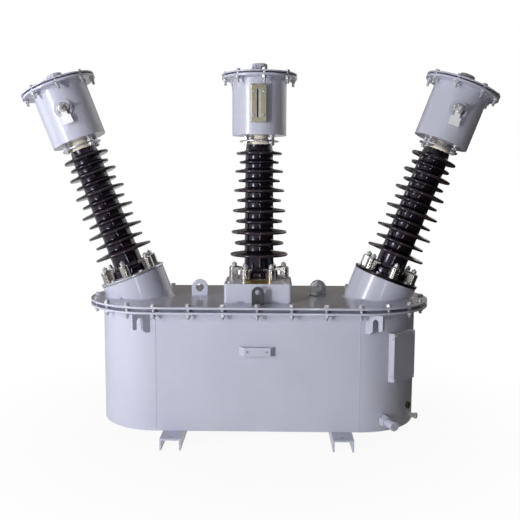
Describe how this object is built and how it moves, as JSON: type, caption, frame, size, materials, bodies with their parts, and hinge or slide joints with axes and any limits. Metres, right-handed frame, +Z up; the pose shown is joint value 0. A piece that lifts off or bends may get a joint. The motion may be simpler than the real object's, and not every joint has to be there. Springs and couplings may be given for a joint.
{
  "type": "outdoor instrument transformer",
  "caption": "Oil-filled outdoor instrument transformer: round-ended steel tank with a bolted cover, and upright and leaning shed porcelain bushings under bolted heads.",
  "frame": {"origin": "on the ground under the middle of the tank", "axes": "+X to the right along the tank, +Y to the back, +Z up; the front faces -Y"},
  "size_m": [1.828, 0.642, 1.412],
  "materials": {
    "grey_enamel": "semi-gloss blue-grey enamel",
    "brown_glaze": "dark brown glaze, glossy",
    "yellow_zinc": "yellow-passivated zinc plate, satin",
    "bright_zinc": "bright zinc plate, satin",
    "cast_alloy": "cast, matt silver",
    "light_steel": "plated sheet, satin",
    "black_rubber": "nitrile, matt",
    "cream_fitting": "pale cream, satin",
    "gauge_glass": "clear over oil",
    "white_plate": "white enamel, blank",
    "brass": "turned, satin",
    "moulded_black": "phenolic board, matt",
    "core_steel": "stacked core plate under varnish",
    "oiled_paper": "oil-soaked paper tape"
  },
  "bodies": {
    "root": {"base_clamps": "cast_alloy", "base_gaskets": "black_rubber", "centre_turret": "grey_enamel", "centre_turret_plate": "yellow_zinc", "clamp_nuts": "bright_zinc", "core_stands": "grey_enamel", "cover_bolts": "grey_enamel", "cover_lugs": "grey_enamel", "cover_nuts": "grey_enamel", "cover_plate": "grey_enamel", "ct_primary_rings": "oiled_paper", "ct_ring_cores": "core_steel", "drain_valve_body": "grey_enamel", "drain_valve_plug": "bright_zinc", "earth_nut": "bright_zinc", "earth_stud": "bright_zinc", "filler_caps": "bright_zinc", "front_lug": "grey_enamel", "head_cans": "grey_enamel", "head_lids": "grey_enamel", "head_necks": "cream_fitting", "head_rims": "grey_enamel", "lead_tubes": "oiled_paper", "left_foot_channel": "grey_enamel", "lid_bolts": "bright_zinc", "lid_gaskets": "black_rubber", "lid_nuts": "bright_zinc", "oil_gauge_frame": "yellow_zinc", "oil_gauge_glass": "gauge_glass", "oil_gauge_screws": "bright_zinc", "plate_bracket": "grey_enamel", "porcelain_bushings": "brown_glaze", "right_foot_channel": "grey_enamel", "ring_nuts": "bright_zinc", "ring_studs": "bright_zinc", "sampling_plug": "yellow_zinc", "secondary_terminal_board": "moulded_black", "secondary_terminal_posts": "brass", "side_turret_plates": "light_steel", "side_turrets": "grey_enamel", "sling_hooks": "grey_enamel", "tank_body": "grey_enamel", "tank_gasket": "black_rubber", "tank_rim": "grey_enamel", "terminal_box_body": "grey_enamel", "terminal_box_cover": "grey_enamel", "terminal_box_screws": "bright_zinc", "terminal_bushes": "cast_alloy", "terminal_nuts": "bright_zinc", "terminal_studs": "bright_zinc", "terminal_tags": "white_plate", "top_clamp_rings": "light_steel", "top_gaskets": "cream_fitting", "turret_bolts": "bright_zinc", "turret_gaskets": "black_rubber", "vt_coils": "oiled_paper", "vt_cores": "core_steel"}
  },
  "joints": []
}
